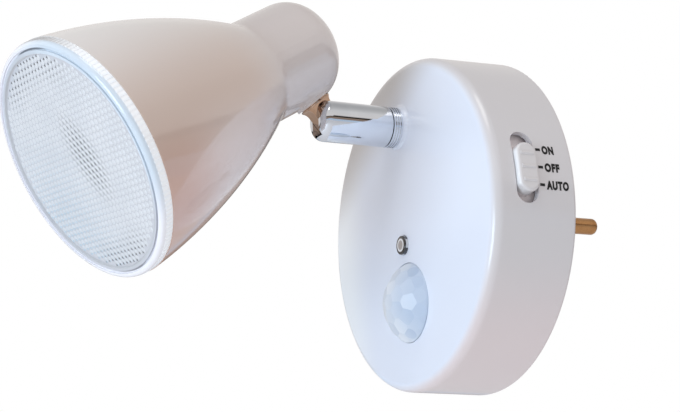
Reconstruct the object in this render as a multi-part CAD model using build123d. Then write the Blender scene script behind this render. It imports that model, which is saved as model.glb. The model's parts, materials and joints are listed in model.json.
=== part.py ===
from build123d import *
import math
import os

# A plug-in night light: a round wall housing that plugs straight into a socket, a short
# swivelling arm on its face, and a bell-shaped spotlight head on a knuckle.
# Millimetres. +Z is up, +Y points into the wall, and the lamp looks along -Y.
# The origin is the centre of the plug boss's end face, between the two pins.

# ---- driving dimensions ----

# housing
disc_radius = 40.0            # rim at the face
rear_radius = 40.4            # rim at the wall side, after the moulding draft
disc_depth = 21.0             # rim from the wall side to the edge of the face
crown = 1.2                   # how far the face bulges in the middle
edge_round = 2.5
rear_round = 0.8
wall = 1.6
boss_height = 8.0             # plug boss, from the rear cover to the socket
boss_width = 35.3
boss_thickness = 13.7
boss_end_round = 0.6
cover_thickness = 2.0
cover_gap = 0.1
cover_post_circle = 33.0
cover_post_angles = [60, 180, 300]
cover_post_radius = 3.4
cover_screw_radius = 1.2
cover_screw_head = 2.7

# plug
pin_spacing = 18.0
pin_radius = 2.0
pin_length = 19.0
pin_tip_round = 1.2
pin_core_radius = 1.5
pin_root_radius = 2.5         # thicker root that the cover is moulded to hold
pin_root_depth = 1.0          # from the boss's end face down to the root
pin_inner_length = 2.4        # behind the cover, for the terminal
sleeve_radius = 1.8
sleeve_length = 10.0
strip_width = 4.0
strip_thickness = 0.6
strip_reach = 5.5             # how far the terminal strip runs up beside the pin

# sensors on the face
light_sensor_z = -5.3
light_hole_radius = 2.4
light_bead_radius = 2.3       # clear moulded sensor body
light_bead_proud = 0.9
light_bead_round = 0.35
light_bead_length = 4.2
light_tube_wall = 0.8
dome_z = -19.2
dome_radius = 9.4
dome_height = 5.5
dome_wall = 0.9
dome_flange_radius = 10.6
dome_flange_thickness = 1.0

# slide switch on the rim
switch_angle = 4.6            # above the level line through the disc's centre
switch_y_from_face = 8.5
slot_length = 16.7
slot_width = 5.6
slot_above_knob = 0.5         # the slot reaches further up, where the lettering's ON is
knob_length = 11.5
knob_width = 5.1
knob_proud = 1.4
knob_edge_round = 0.7
knob_ridge_pitch = 3.1
knob_ridge_radius = 0.45
knob_foot_radius = 37.6       # outer face of the knob's curved foot, inside the rim
knob_foot_thickness = 1.2
knob_foot_half = 10.9         # covers the slot at both ends of the travel
switch_can_front = 31.6       # the slide switch's own can, from the disc's axis

# main board
board_radius = 29.5
board_thickness = 1.6
board_front = 4.0             # behind the edge of the face
board_screw_circle = 25.0
board_screw_angles = [30, 150, 215]
board_post_radius = 2.9
board_screw_radius = 0.9
board_screw_head = 2.1
arm_notch = 8.6               # half width of the board's notch round the arm's nut
capacitor_z = -14.0

# arm
arm_z = 24.0
arm_radius = 4.95
arm_end_round = 2.4
arm_seat_proud = 1.1          # boss on the face that carries the collar
arm_seat_flare = 1.5          # the boss's foot blends into the face
collar_length = 2.4
collar_groove_pitch = 0.6
stem_radius = 4.0
stem_reach = 5.6              # of the stem past its seat, for the washer and nut
running_gap = 0.06
bore_radius = 2.2
pivot_from_face_edge = 19.2   # knuckle pivot in front of the edge of the face
pivot_from_arm_end = 3.6
fork_slot_width = 3.4
fork_slot_depth = 8.4         # from the arm's end
pivot_radius = 1.5
pivot_head_radius = 2.2
pivot_head_depth = 1.3        # of the screw's counterbore, from the prong's side
pivot_end = 3.8               # the screw's blind end, from the arm's axis
tilt_down = 62.0              # how far the head folds down from rest
washer_radius = 6.2
washer_thickness = 1.0
nut_across_flats = 12.0
nut_thickness = 3.6

# knuckle tongue
tongue_thickness = 3.2
tongue_round = 2.9
tongue_waist = 3.2            # from the pivot to where the blade starts to flare
flange_radius = 4.0
flange_thickness = 0.6
flange_groove = 0.2           # undercut between the flange and its seat
pad_distance = 5.75           # from the pivot to the seat under the neck
stud_radius = 2.5
stud_length = 8.6
stud_washer = 0.8
stud_nut = 3.2
neck_seat = 3.2               # thickness of the neck where the stud goes through
tongue_crank = 8.2            # how far the stud leans from square to the head's axis

# head, as it stands at rest
head_tilt = 31.8
head_turn = 6.8               # how the head is turned on its stud
head_axis_distance = 18.3     # from the pivot to the head's axis
lens_ahead = 63.9             # from the stud's line to the lens front
head_length = 72.4
cap_height = 3.0              # lens cap in front of the shell
mouth_radius = 27.5
bell_mid_radius = 22.9
bell_mid = 26.0
neck_radius = 12.7
neck_start = 50.5
neck_blend = 4.0
neck_round = 7.8
shell_wall = 1.8
shell_post_circle = 15.0
shell_post_radius = 2.6
shell_post_angles = [90, 270]
lens_radius = 27.3
lens_thickness = 1.6
lens_edge_round = 1.1
grid_radius = 24.4            # the prism grid lies in a shallow round recess
grid_recess = 0.5
groove_inner = 25.5
groove_outer = 26.1
groove_depth = 0.4
skirt_length = 4.5            # of the lens cap, inside the shell
skirt_wall = 1.4
led_board_radius = 21.5
led_board_behind = 15.0       # behind the lens front
led_board_thickness = 1.5
led_rings = [(10.5, 6, 0), (18.0, 12, 15)]    # radius, number and first angle of each ring
led_length = 3.5
led_width = 2.8
led_height = 0.7

# ---- places worked out from the dimensions ----

rear_y = -boss_height
face_y = rear_y - disc_depth
board_y = face_y + board_front
board_back_y = board_y + board_thickness
switch_y = face_y + switch_y_from_face
cover_inner_y = rear_y - cover_thickness
face_radius = disc_radius - edge_round


def crown_at(radius):
    """How far the face stands out, at this distance from the disc's centre."""
    return crown * (1 - (radius / face_radius) ** 2)


arm_seat_y = face_y - crown_at(arm_z) - arm_seat_proud
shoulder_y = arm_seat_y - collar_length - 0.1
pivot_y = face_y - pivot_from_face_edge
arm_end_y = pivot_y - pivot_from_arm_end
stem_seat_y = face_y + 2.9
dome_seat_y = face_y + 1.6
dome_base_y = face_y - crown_at(dome_z)
light_front_y = face_y - crown_at(light_sensor_z) - light_bead_proud
light_back_y = light_front_y + light_bead_length
pin_root_y = cover_inner_y - pin_inner_length

pivot = Location((0, pivot_y, arm_z))
tongue_place = pivot * Location((0, 0, 0), (head_tilt + tongue_crank, 0, 0))
head_place = (pivot
              * Location((0, 0, 0), (head_tilt, 0, 0))
              * Location((0, 0, 0), (0, 0, head_turn))
              * Location((0, -lens_ahead, head_axis_distance)))
switch_place = Location((0, switch_y, 0), (0, -switch_angle, 0))


# ---- small helpers ----

def rod(radius, start, end, x=0, z=0):
    """A round bar along Y from start to end."""
    return Pos(x, (start + end) / 2, z) * Rot(90, 0, 0) * Cylinder(radius, abs(end - start))


def ring(outer, inner, start, end, x=0, z=0):
    return rod(outer, start, end, x, z) - rod(inner, start - 1, end + 1, x, z)


def upright(radius, low, high, x=0, y=0):
    """A round bar along Z from low to high."""
    return Pos(x, y, (low + high) / 2) * Cylinder(radius, high - low)


def block(low, high):
    """A box between two corners."""
    size = [b - a for a, b in zip(low, high)]
    centre = [(a + b) / 2 for a, b in zip(low, high)]
    return Pos(*centre) * Box(*size)


def on_circle(radius, angles):
    return [(radius * math.cos(math.radians(a)), radius * math.sin(math.radians(a))) for a in angles]


def turned(lines, axis=Axis.Y):
    """A body of revolution from a closed outline drawn in the XY plane, X being the radius."""
    return revolve(make_face(lines), axis, 360)


def hexagon_nut(across_flats, bore, low, high):
    outline = RegularPolygon(across_flats / 2, 6, major_radius=False)
    return Pos(0, 0, low) * extrude(outline - Circle(bore), high - low)


# ---- wall housing ----

def disc_outline():
    """The crowned disc's half outline, with its rounded front and rear edges."""
    r = disc_radius
    rear = rear_radius
    middle = face_radius / 2
    top = (0, face_y - crown)
    shoulder = (face_radius, face_y)
    bend = edge_round * (1 - math.sqrt(0.5))
    face = ThreePointArc(top, (middle, face_y - crown_at(middle)), shoulder)
    edge = ThreePointArc(shoulder, (r - bend, face_y + bend), (r, face_y + edge_round))
    side = Line((r, face_y + edge_round), (rear, rear_y - rear_round))
    tuck = rear_round * (1 - math.sqrt(0.5))
    rear_edge = ThreePointArc((rear, rear_y - rear_round), (rear - tuck, rear_y - tuck),
                              (rear - rear_round, rear_y))
    back = Polyline((rear - rear_round, rear_y), (0, rear_y), top)
    return Curve() + [face, edge, side, rear_edge, back]


def disc_hollow():
    """The half outline of the space inside: a shallow cone, a bevel and the drafted side wall."""
    front = face_y + wall
    r = disc_radius - wall
    bevel = edge_round - wall
    return Polyline((0, front - crown), (r - bevel, front), (r, front + bevel),
                    (rear_radius - wall, rear_y), (0, rear_y), close=True)


def switch_slot(length, width, inner, outer):
    """A stadium prism through the rim, lying across X, before it is turned into place."""
    outline = Plane.YZ * (Rot(0, 0, 90) * SlotOverall(length, width))
    return Pos(inner, 0, 0) * extrude(outline, outer - inner, dir=(1, 0, 0))


def arm_boss():
    """The boss under the collar: its foot flares into the face, its back takes the stem nut."""
    top = arm_radius + 0.1
    foot = top + arm_seat_flare
    low = arm_seat_y + arm_seat_flare
    middle = (foot - arm_seat_flare * math.sqrt(0.5), arm_seat_y + arm_seat_flare * math.sqrt(0.5))
    flare = ThreePointArc((top, arm_seat_y), middle, (foot, low))
    rest = Polyline((foot, low), (foot, stem_seat_y), (0, stem_seat_y), (0, arm_seat_y), (top, arm_seat_y))
    return Pos(0, 0, arm_z) * turned(Curve() + [flare, rest])


def front_housing():
    shell = turned(disc_outline()) - turned(disc_hollow())
    shell -= rod(rear_radius - wall, cover_inner_y - 0.5, rear_y + 1)
    shell += arm_boss()
    shell += ring(dome_flange_radius + 1.2, dome_radius + 0.4, face_y, dome_seat_y, 0, dome_z)
    shell += ring(light_hole_radius + 1.6, light_hole_radius, face_y, dome_seat_y, 0, light_sensor_z)
    for x, z in on_circle(cover_post_circle, cover_post_angles):
        shell += rod(cover_post_radius, face_y + 0.5, cover_inner_y - cover_gap, x, z)
    for x, z in on_circle(board_screw_circle, board_screw_angles):
        shell += rod(board_post_radius, face_y, board_y, x, z)
    shell -= rod(stem_radius + running_gap, arm_seat_y - 1, stem_seat_y + 1, 0, arm_z)
    shell -= rod(dome_radius + 0.1, dome_base_y - 3, dome_seat_y + 1, 0, dome_z)
    shell -= rod(light_hole_radius, face_y - crown - 1, dome_seat_y + 1, 0, light_sensor_z)
    for x, z in on_circle(cover_post_circle, cover_post_angles):
        shell -= rod(cover_screw_radius, cover_inner_y - 9, cover_inner_y, x, z)
    for x, z in on_circle(board_screw_circle, board_screw_angles):
        shell -= rod(board_screw_radius, board_y - 3.5, board_y, x, z)
    slot = switch_slot(slot_length, slot_width, disc_radius - 6, disc_radius + 3)
    shell -= switch_place * Pos(0, 0, slot_above_knob) * slot
    return shell


def boss_outline():
    """The flat six-sided plug outline with its rounded corners."""
    half = boss_width / 2
    thick = boss_thickness / 2
    slant = 4.0
    points = [(half - slant, thick), (half, 1.6), (half, -1.6), (half - slant, -thick),
              (slant - half, -thick), (-half, -1.6), (-half, 1.6), (slant - half, thick)]
    face = make_face(Polyline(*points, close=True))
    return fillet(face.vertices(), 1.2)


def rear_cover():
    plate = rod(rear_radius - wall - 0.1, cover_inner_y, rear_y)
    plug = extrude(Plane.XZ.offset(-rear_y) * boss_outline(), -boss_height, taper=1.0)
    cover = plate + plug
    end_edges = cover.faces().sort_by(Axis.Y)[-1].edges()
    cover = fillet(end_edges, boss_end_round)
    for side in (-1, 1):
        x = side * pin_spacing / 2
        cover += rod(pin_root_radius + 1.2, cover_inner_y - 1.2, cover_inner_y, x)
        cover -= rod(pin_root_radius + 0.02, cover_inner_y - 2, -pin_root_depth, x)
        cover -= rod(sleeve_radius + 0.02, -pin_root_depth - 1, 1, x)
    for x, z in on_circle(cover_post_circle, cover_post_angles):
        cover -= rod(cover_screw_radius + 0.35, cover_inner_y - 1, rear_y + 1, x, z)
        cover -= rod(cover_screw_head + 0.2, rear_y - 1.0, rear_y + 1, x, z)
    return cover


def cover_screws():
    screws = []
    for x, z in on_circle(cover_post_circle, cover_post_angles):
        head = rod(cover_screw_head, rear_y - 1.0, rear_y - 0.05, x, z)
        slot = block((x - 1.9, rear_y - 0.5, z - 0.3), (x + 1.9, rear_y + 1, z + 0.3))
        cross = block((x - 0.3, rear_y - 0.5, z - 1.9), (x + 0.3, rear_y + 1, z + 1.9))
        shank = rod(cover_screw_radius, cover_inner_y - 6, rear_y - 1.0, x, z)
        screws.append(head - slot - cross + shank)
    return screws


def plug_pin(side):
    """A solid brass pin: thick root in the cover, thin under its sleeve, full size at the tip."""
    tip_start = pin_length - pin_tip_round
    flat = pin_radius - pin_tip_round
    bend = pin_tip_round * math.sqrt(0.5)
    shaft = Polyline((0, pin_root_y), (pin_root_radius, pin_root_y), (pin_root_radius, -pin_root_depth),
                     (pin_core_radius, -pin_root_depth), (pin_core_radius, sleeve_length),
                     (pin_radius, sleeve_length), (pin_radius, tip_start))
    nose = ThreePointArc((pin_radius, tip_start), (flat + bend, tip_start + bend), (flat, pin_length))
    back = Polyline((flat, pin_length), (0, pin_length), (0, pin_root_y))
    return Pos(side * pin_spacing / 2, 0, 0) * turned(Curve() + [shaft, nose, back])


def pin_sleeves():
    return [ring(sleeve_radius, pin_core_radius, -pin_root_depth, sleeve_length, side * pin_spacing / 2)
            for side in (-1, 1)]


def pin_terminals():
    """Brass strips from the pins' inner ends to the main board."""
    half = strip_width / 2
    leg_low = strip_reach - strip_thickness
    strips = []
    for side in (-1, 1):
        x = side * pin_spacing / 2
        foot = block((x - half, pin_root_y - strip_thickness, -half), (x + half, pin_root_y, strip_reach))
        leg = block((x - half, board_back_y, leg_low), (x + half, pin_root_y, strip_reach))
        strips.append(foot + leg)
    return strips


def pir_lens():
    """The motion sensor's dome lens: a shallow cap, a short wall and a flange behind the face."""
    sphere = (dome_radius ** 2 + dome_height ** 2) / (2 * dome_height)
    top = dome_base_y - dome_height
    centre = top + sphere
    inner = sphere - dome_wall
    inner_base = dome_radius - dome_wall
    inner_y = centre - math.sqrt(inner ** 2 - inner_base ** 2)
    half = math.asin(dome_radius / sphere) / 2
    inner_half = math.asin(inner_base / inner) / 2
    flange_back = dome_seat_y + dome_flange_thickness
    outside = ThreePointArc((0, top), (sphere * math.sin(half), centre - sphere * math.cos(half)),
                            (dome_radius, dome_base_y))
    side = Polyline((dome_radius, dome_base_y), (dome_radius, dome_seat_y),
                    (dome_flange_radius, dome_seat_y), (dome_flange_radius, flange_back),
                    (inner_base, flange_back), (inner_base, inner_y))
    inside = ThreePointArc((inner_base, inner_y),
                           (inner * math.sin(inner_half), centre - inner * math.cos(inner_half)),
                           (0, centre - inner))
    close = Line((0, centre - inner), (0, top))
    return Pos(0, 0, dome_z) * turned(Curve() + [outside, side, inside, close])


# ---- parts on the main board ----

def main_board():
    board = rod(board_radius, board_y, board_back_y)
    board -= rod(arm_notch, board_y - 1, board_back_y + 1, 0, arm_z)
    board -= block((-arm_notch, board_y - 1, arm_z), (arm_notch, board_back_y + 1, arm_z + 12))
    for x, z in on_circle(board_screw_circle, board_screw_angles):
        board -= rod(board_screw_radius + 0.3, board_y - 1, board_back_y + 1, x, z)
    return board


def board_screws():
    screws = []
    for x, z in on_circle(board_screw_circle, board_screw_angles):
        head = rod(board_screw_head, board_back_y, board_back_y + 1.5, x, z)
        head -= block((x - 1.6, board_back_y + 0.8, z - 0.25), (x + 1.6, board_back_y + 3, z + 0.25))
        screws.append(head + rod(board_screw_radius, board_y - 3.2, board_back_y, x, z))
    return screws


def pir_sensor():
    """The metal can with its window, on three wire legs."""
    can_back = board_y - 0.6
    can = rod(4.6, can_back - 0.5, can_back, 0, dome_z)
    can += rod(4.1, can_back - 4.2, can_back, 0, dome_z)
    can -= block((-2.0, can_back - 5, dome_z - 1.5), (2.0, can_back - 3.9, dome_z + 1.5))
    for x, z in on_circle(2.0, [90, 210, 330]):
        can += rod(0.25, can_back - 0.3, board_y, x, dome_z + z)
    return can


def light_sensor():
    """A clear round bead that stands just proud of the face, on two wire legs."""
    bead = rod(light_bead_radius, light_front_y, light_back_y, 0, light_sensor_z)
    front = bead.edges().filter_by(GeomType.CIRCLE).sort_by(Axis.Y)[0]
    bead = fillet(front, light_bead_round)
    for x in (-1.2, 1.2):
        bead += rod(0.25, light_back_y - 0.3, board_y, x, light_sensor_z)
    return bead


def light_tube():
    """The dark tube that keeps the lamp's own light off the bead."""
    bore = light_hole_radius + 0.1
    return ring(bore + light_tube_wall, bore, dome_seat_y, board_y, 0, light_sensor_z)


def slide_switch():
    """The switch's metal can, open towards the rim for its slider."""
    front = switch_can_front
    can = block((front - 5.2, board_back_y - switch_y, -6.6), (front, 2.15, 6.6))
    can -= block((front - 3.2, -1.1, -3.9), (front + 1, 1.1, 3.9))
    return switch_place * can


def switch_slider():
    """The black slider that the knob is pushed onto."""
    front = switch_can_front
    foot = block((front - 3.1, -1.0, -1.6), (front - 0.2, 1.0, 1.6))
    neck = block((front - 0.2, -0.9, -1.2), (knob_foot_radius + 1.2, 0.9, 1.2))
    return switch_place * (foot + neck)


def switch_knob():
    """A stadium button with three cross ridges and a curved foot that covers the slot inside."""
    base = knob_foot_radius
    top = disc_radius + knob_proud
    button = switch_slot(knob_length, knob_width, base - knob_foot_thickness, top)
    rim = button.faces().sort_by(Axis.X)[-1].edges()
    button = fillet(rim, knob_edge_round)
    ridge_length = knob_width - 2 * knob_edge_round - 0.4
    for step in (-1, 0, 1):
        spot = Pos(top - knob_ridge_radius / 3, 0, step * knob_ridge_pitch)
        button += spot * Rot(90, 0, 0) * Cylinder(knob_ridge_radius, ridge_length)
    half = slot_width / 2 + 0.8
    band = ring(base, base - knob_foot_thickness, -half, half)
    foot = band & block((0, -half, -knob_foot_half), (base + 1, half, knob_foot_half))
    pocket = block((base - 2, -0.9, -1.2), (base + 1.2, 0.9, 1.2))
    return switch_place * (button + foot - pocket)


def film_capacitor():
    """A moulded brick on two wire legs."""
    width, thickness, height = 13.0, 9.0, 6.5
    middle = -9.5
    low = board_back_y + 0.3
    body = Pos(middle, low + thickness / 2, capacitor_z) * Box(width, thickness, height)
    body = fillet(body.edges(), 0.5)
    for step in (-5, 5):
        body += rod(0.35, board_back_y, board_back_y + 1, middle + step, capacitor_z)
    return body


def smoothing_capacitors():
    """Two electrolytic cans side by side, each with its rolled groove and two legs."""
    radius, height = 4.0, 9.3
    low = board_back_y + 0.2
    cans = []
    for x in (4.5, 13.5):
        can = rod(radius, low, low + height, x, capacitor_z)
        can -= ring(radius + 1, radius - 0.3, low + 1.4, low + 2.0, x, capacitor_z)
        for step in (-1.3, 1.3):
            can += rod(0.3, board_back_y, board_back_y + 1, x + step, capacitor_z)
        cans.append(can)
    return cans


def chip(x, z, width, height, thickness, pins):
    """A small moulded chip with a row of legs on each long side."""
    low = board_back_y
    body = block((x - width / 2, low + 0.2, z - height / 2), (x + width / 2, low + thickness, z + height / 2))
    pitch = width / pins
    for i in range(pins):
        leg = x - width / 2 + pitch * (i + 0.5)
        body += block((leg - 0.25, low, z - height / 2 - 1.1), (leg + 0.25, low + 0.7, z + height / 2 + 1.1))
    return body


def bridge_rectifier():
    return chip(-15, 9.5, 5.0, 4.0, 2.4, 2)


def control_chip():
    return chip(12, 9.5, 9.8, 3.9, 1.9, 8)


def fuse_resistor():
    body = rod(1.7, -5, 5)
    body = fillet(body.edges(), 0.6)
    body += rod(0.35, -8, 8)
    body = Pos(-22, board_back_y + 2.2, -4) * Rot(90, 0, 0) * body
    for z in (-12, 4):
        body += rod(0.35, board_back_y, board_back_y + 2.55, -22, z)
    return body


def arm_leads():
    """Two insulated wires up from the board and straight through the arm's bore."""
    wires = []
    for side in (-1, 1):
        x = 0.85 * side
        route = FilletPolyline((x, board_back_y, 13.5), (x, board_back_y + 4, 13.5),
                               (x, board_back_y + 4, arm_z), (x, pivot_y + 6.5, arm_z), radius=2.6)
        wires.append(sweep(Plane(route @ 0, z_dir=route % 0) * Circle(0.6), route))
    return wires


# ---- arm ----

def swivel_collar():
    """The ribbed ring that the arm turns against."""
    collar = ring(arm_radius, stem_radius + running_gap, arm_seat_y - collar_length, arm_seat_y, 0, arm_z)
    for step in (1, 2, 3):
        y = arm_seat_y - step * collar_groove_pitch
        collar -= ring(arm_radius + 1, arm_radius - 0.25, y - 0.12, y + 0.12, 0, arm_z)
    return collar


def arm_fork():
    """The chromed arm: rounded forked end, plain barrel, and a bored threaded stem."""
    barrel = rod(arm_radius, arm_end_y, shoulder_y, 0, arm_z)
    end_edge = barrel.edges().filter_by(GeomType.CIRCLE).sort_by(Axis.Y)[0]
    barrel = fillet(end_edge, arm_end_round)
    back_edge = barrel.edges().filter_by(GeomType.CIRCLE).sort_by(Axis.Y)[-1]
    barrel = fillet(back_edge, 0.3)
    barrel += rod(stem_radius, shoulder_y, stem_seat_y + stem_reach, 0, arm_z)
    slot_back = arm_end_y + fork_slot_depth
    half = fork_slot_width / 2
    floor = tongue_round + 0.2
    barrel -= block((-half, arm_end_y - 1, arm_z - floor), (half, slot_back, arm_z + 9))
    folded = pivot * Location((0, 0, 0), (head_tilt + tongue_crank + tilt_down + 1, 0, 0))
    barrel -= folded * block((-half, -floor - 0.2, 0), (half, 0, 9))
    barrel -= rod(bore_radius, slot_back - 1, stem_seat_y + stem_reach + 1, 0, arm_z)
    across = pivot * Rot(0, 90, 0)
    barrel -= across * upright(pivot_radius, -arm_radius, pivot_end)
    barrel -= across * upright(pivot_head_radius + 0.1, -arm_radius - 1, -arm_radius + pivot_head_depth)
    return barrel


def pivot_screw():
    """Enters from the left prong and ends blind in the right one."""
    seat = -arm_radius + pivot_head_depth
    shank = upright(pivot_radius, seat, pivot_end)
    head = upright(pivot_head_radius, seat - 0.9, seat)
    slot = Pos(0, 0, seat - 0.9) * Box(0.6, 5, 0.7)
    return pivot * Rot(0, 90, 0) * (shank + head - slot)


def stem_washer():
    back = stem_seat_y + 0.05 + washer_thickness
    return ring(washer_radius, stem_radius + 0.1, back - washer_thickness, back, 0, arm_z)


def stem_nut():
    nut = hexagon_nut(nut_across_flats, stem_radius, 0, nut_thickness)
    return Pos(0, stem_seat_y + 0.05 + washer_thickness, arm_z) * Rot(-90, 0, 0) * nut


# ---- knuckle and head ----

def knuckle_tongue():
    """The eye in the fork, the flared blade, the seat flange and the hollow threaded stud."""
    underside = pad_distance - flange_thickness
    r = tongue_round
    wide = flange_radius - 0.3
    hollow = ((r + wide) / 2 - 0.2, (tongue_waist + underside) / 2 + 0.25)
    right = ThreePointArc((r, tongue_waist), hollow, (wide, underside))
    top = Line((wide, underside), (-wide, underside))
    left = ThreePointArc((-wide, underside), (-hollow[0], hollow[1]), (-r, tongue_waist))
    foot = Polyline((-r, tongue_waist), (-r, 0), (r, 0), (r, tongue_waist))
    outline = make_face(Curve() + [right, top, left, foot])
    eye = Rot(0, 90, 0) * Cylinder(r, tongue_thickness)
    blade = extrude(Plane.YZ * outline, tongue_thickness / 2, both=True)
    flange = upright(flange_radius, underside, pad_distance - flange_groove)
    flange = fillet(flange.edges().filter_by(GeomType.CIRCLE), 0.12)
    shoulder = upright(flange_radius - 0.35, underside + 0.2, pad_distance)
    stud = upright(stud_radius, pad_distance - flange_groove, pad_distance + stud_length)
    tongue = eye + blade + flange + shoulder + stud
    tongue -= Rot(0, 90, 0) * Cylinder(pivot_radius + running_gap, 10)
    tongue -= upright(1.3, 2.6, pad_distance + stud_length + 1)
    tongue -= block((-1.0, 0, 2.6), (1.0, 6, 4.4))
    return tongue_place * tongue


def tongue_washer():
    low = pad_distance + neck_seat
    washer = upright(4.2, low, low + stud_washer) - upright(stud_radius + 0.1, low - 1, low + 2)
    return tongue_place * washer


def tongue_nut():
    low = pad_distance + neck_seat + stud_washer
    return tongue_place * hexagon_nut(8.0, stud_radius, low, low + stud_nut)


def bell_outline(inset, front, back):
    """The head's half outline, moved inwards by inset and cut at front and back."""
    mouth = (mouth_radius - inset, front)
    middle = (bell_mid_radius - inset, bell_mid)
    waist = (neck_radius - inset, neck_start)
    bend = neck_round - inset
    turn = (neck_radius - inset, back - bend)
    tip = (neck_radius - inset - bend, back)
    diagonal = bend * math.sqrt(0.5)
    knee = (tip[0] + diagonal, turn[1] + diagonal)
    bell = ThreePointArc(mouth, middle, waist)
    neck = Line(waist, turn)
    end = ThreePointArc(turn, knee, tip)
    close = Polyline(tip, (0, back), (0, front), mouth)
    face = make_face(Curve() + [bell, neck, end, close])
    corner = face.vertices().sort_by_distance((waist[0], waist[1], 0))[0]
    return fillet(corner, neck_blend)


def head_shell():
    outer = revolve(bell_outline(0, cap_height, head_length), Axis.Y, 360)
    inner = revolve(bell_outline(shell_wall, cap_height, head_length - shell_wall), Axis.Y, 360)
    shell = outer - inner
    ledge_y = led_board_behind + led_board_thickness
    keep = revolve(bell_outline(shell_wall / 2, cap_height, head_length - shell_wall), Axis.Y, 360)
    for x, z in on_circle(shell_post_circle, shell_post_angles):
        shell += rod(shell_post_radius, ledge_y, ledge_y + 20, x, z) & keep
        shell -= rod(1.0, ledge_y - 1, ledge_y + 8, x, z)
    seat = tongue_place * upright(flange_radius + 0.6, pad_distance, pad_distance + neck_seat)
    spot = tongue_place * upright(flange_radius + 0.3, pad_distance - 2, pad_distance)
    hole = tongue_place * upright(stud_radius + 0.1, pad_distance - 1, pad_distance + 5)
    return head_place * shell + seat - spot - hole


def lens_cap():
    """The clear cap: a recess for the prism grid, a groove, a side wall and a skirt in the shell."""
    skirt = mouth_radius - shell_wall - 0.25
    inner = skirt - skirt_wall
    back = grid_recess + lens_thickness
    end = cap_height + skirt_length
    outline = Polyline((0, grid_recess), (grid_radius, grid_recess), (grid_radius + 0.3, 0),
                       (groove_inner, 0), (groove_inner, groove_depth), (groove_outer, groove_depth),
                       (groove_outer, 0), (lens_radius, 0), (lens_radius, cap_height),
                       (skirt, cap_height), (skirt - 0.5, end), (inner, end), (inner, back), (0, back),
                       close=True)
    face = make_face(outline)
    corner = face.vertices().sort_by_distance((lens_radius, 0, 0))[0]
    face = fillet(corner, lens_edge_round)
    return head_place * revolve(face, Axis.Y, 360)


def led_board():
    back = led_board_behind + led_board_thickness
    board = rod(led_board_radius, led_board_behind, back)
    for x, z in on_circle(shell_post_circle, shell_post_angles):
        board -= rod(1.2, led_board_behind - 1, back + 1, x, z)
    for x in (-1.4, 1.4):
        board -= rod(0.7, led_board_behind - 1, back + 1, x)
    return head_place * board


def leds():
    """Two rings of small flat LED packages on the board."""
    middle = led_board_behind - led_height / 2
    chips = []
    for radius, count, first in led_rings:
        for x, z in on_circle(radius, [first + 360 / count * i for i in range(count)]):
            chips.append(head_place * Pos(x, middle, z) * Box(led_width, led_height, led_length))
    return chips


def led_screws():
    screws = []
    for x, z in on_circle(shell_post_circle, shell_post_angles):
        screw = rod(2.0, led_board_behind - 1.3, led_board_behind, x, z)
        screw -= block((x - 1.5, led_board_behind - 2, z - 0.25), (x + 1.5, led_board_behind - 0.7, z + 0.25))
        screw += rod(1.0, led_board_behind, led_board_behind + 7, x, z)
        screws.append(head_place * screw)
    return screws


def head_leads():
    """Two insulated wires from the LED board back into the neck."""
    wires = []
    for x in (-1.4, 1.4):
        start = led_board_behind + led_board_thickness
        route = FilletPolyline((x, start, 0), (x, start + 12, 0), (x, start + 24, 5),
                               (x, start + 38, 5), radius=12)
        wires.append(head_place * sweep(Plane(route @ 0, z_dir=route % 0) * Circle(0.6), route))
    return wires


# ---- write every piece to its own file ----

pieces = {
    "front_housing": front_housing,
    "rear_cover": rear_cover,
    "cover_screws": cover_screws,
    "plug_pin_left": lambda: plug_pin(-1),
    "plug_pin_right": lambda: plug_pin(1),
    "pin_sleeves": pin_sleeves,
    "pin_terminals": pin_terminals,
    "pir_lens": pir_lens,
    "main_board": main_board,
    "board_screws": board_screws,
    "pir_sensor": pir_sensor,
    "light_sensor": light_sensor,
    "light_tube": light_tube,
    "slide_switch": slide_switch,
    "film_capacitor": film_capacitor,
    "smoothing_capacitors": smoothing_capacitors,
    "bridge_rectifier": bridge_rectifier,
    "control_chip": control_chip,
    "fuse_resistor": fuse_resistor,
    "arm_leads": arm_leads,
    "swivel_collar": swivel_collar,
    "switch_knob": switch_knob,
    "switch_slider": switch_slider,
    "arm_fork": arm_fork,
    "pivot_screw": pivot_screw,
    "stem_washer": stem_washer,
    "stem_nut": stem_nut,
    "head_shell": head_shell,
    "knuckle_tongue": knuckle_tongue,
    "tongue_washer": tongue_washer,
    "tongue_nut": tongue_nut,
    "lens_cap": lens_cap,
    "led_board": led_board,
    "leds": leds,
    "led_screws": led_screws,
    "head_leads": head_leads,
}

os.makedirs("parts", exist_ok=True)
for name, make in pieces.items():
    shape = make()
    if isinstance(shape, list):
        shape = Compound(children=shape)
    export_step(shape, "parts/" + name + ".step")
    print(name)
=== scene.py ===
import json
import math

import bmesh
import bpy
from mathutils import Matrix, Vector


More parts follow.
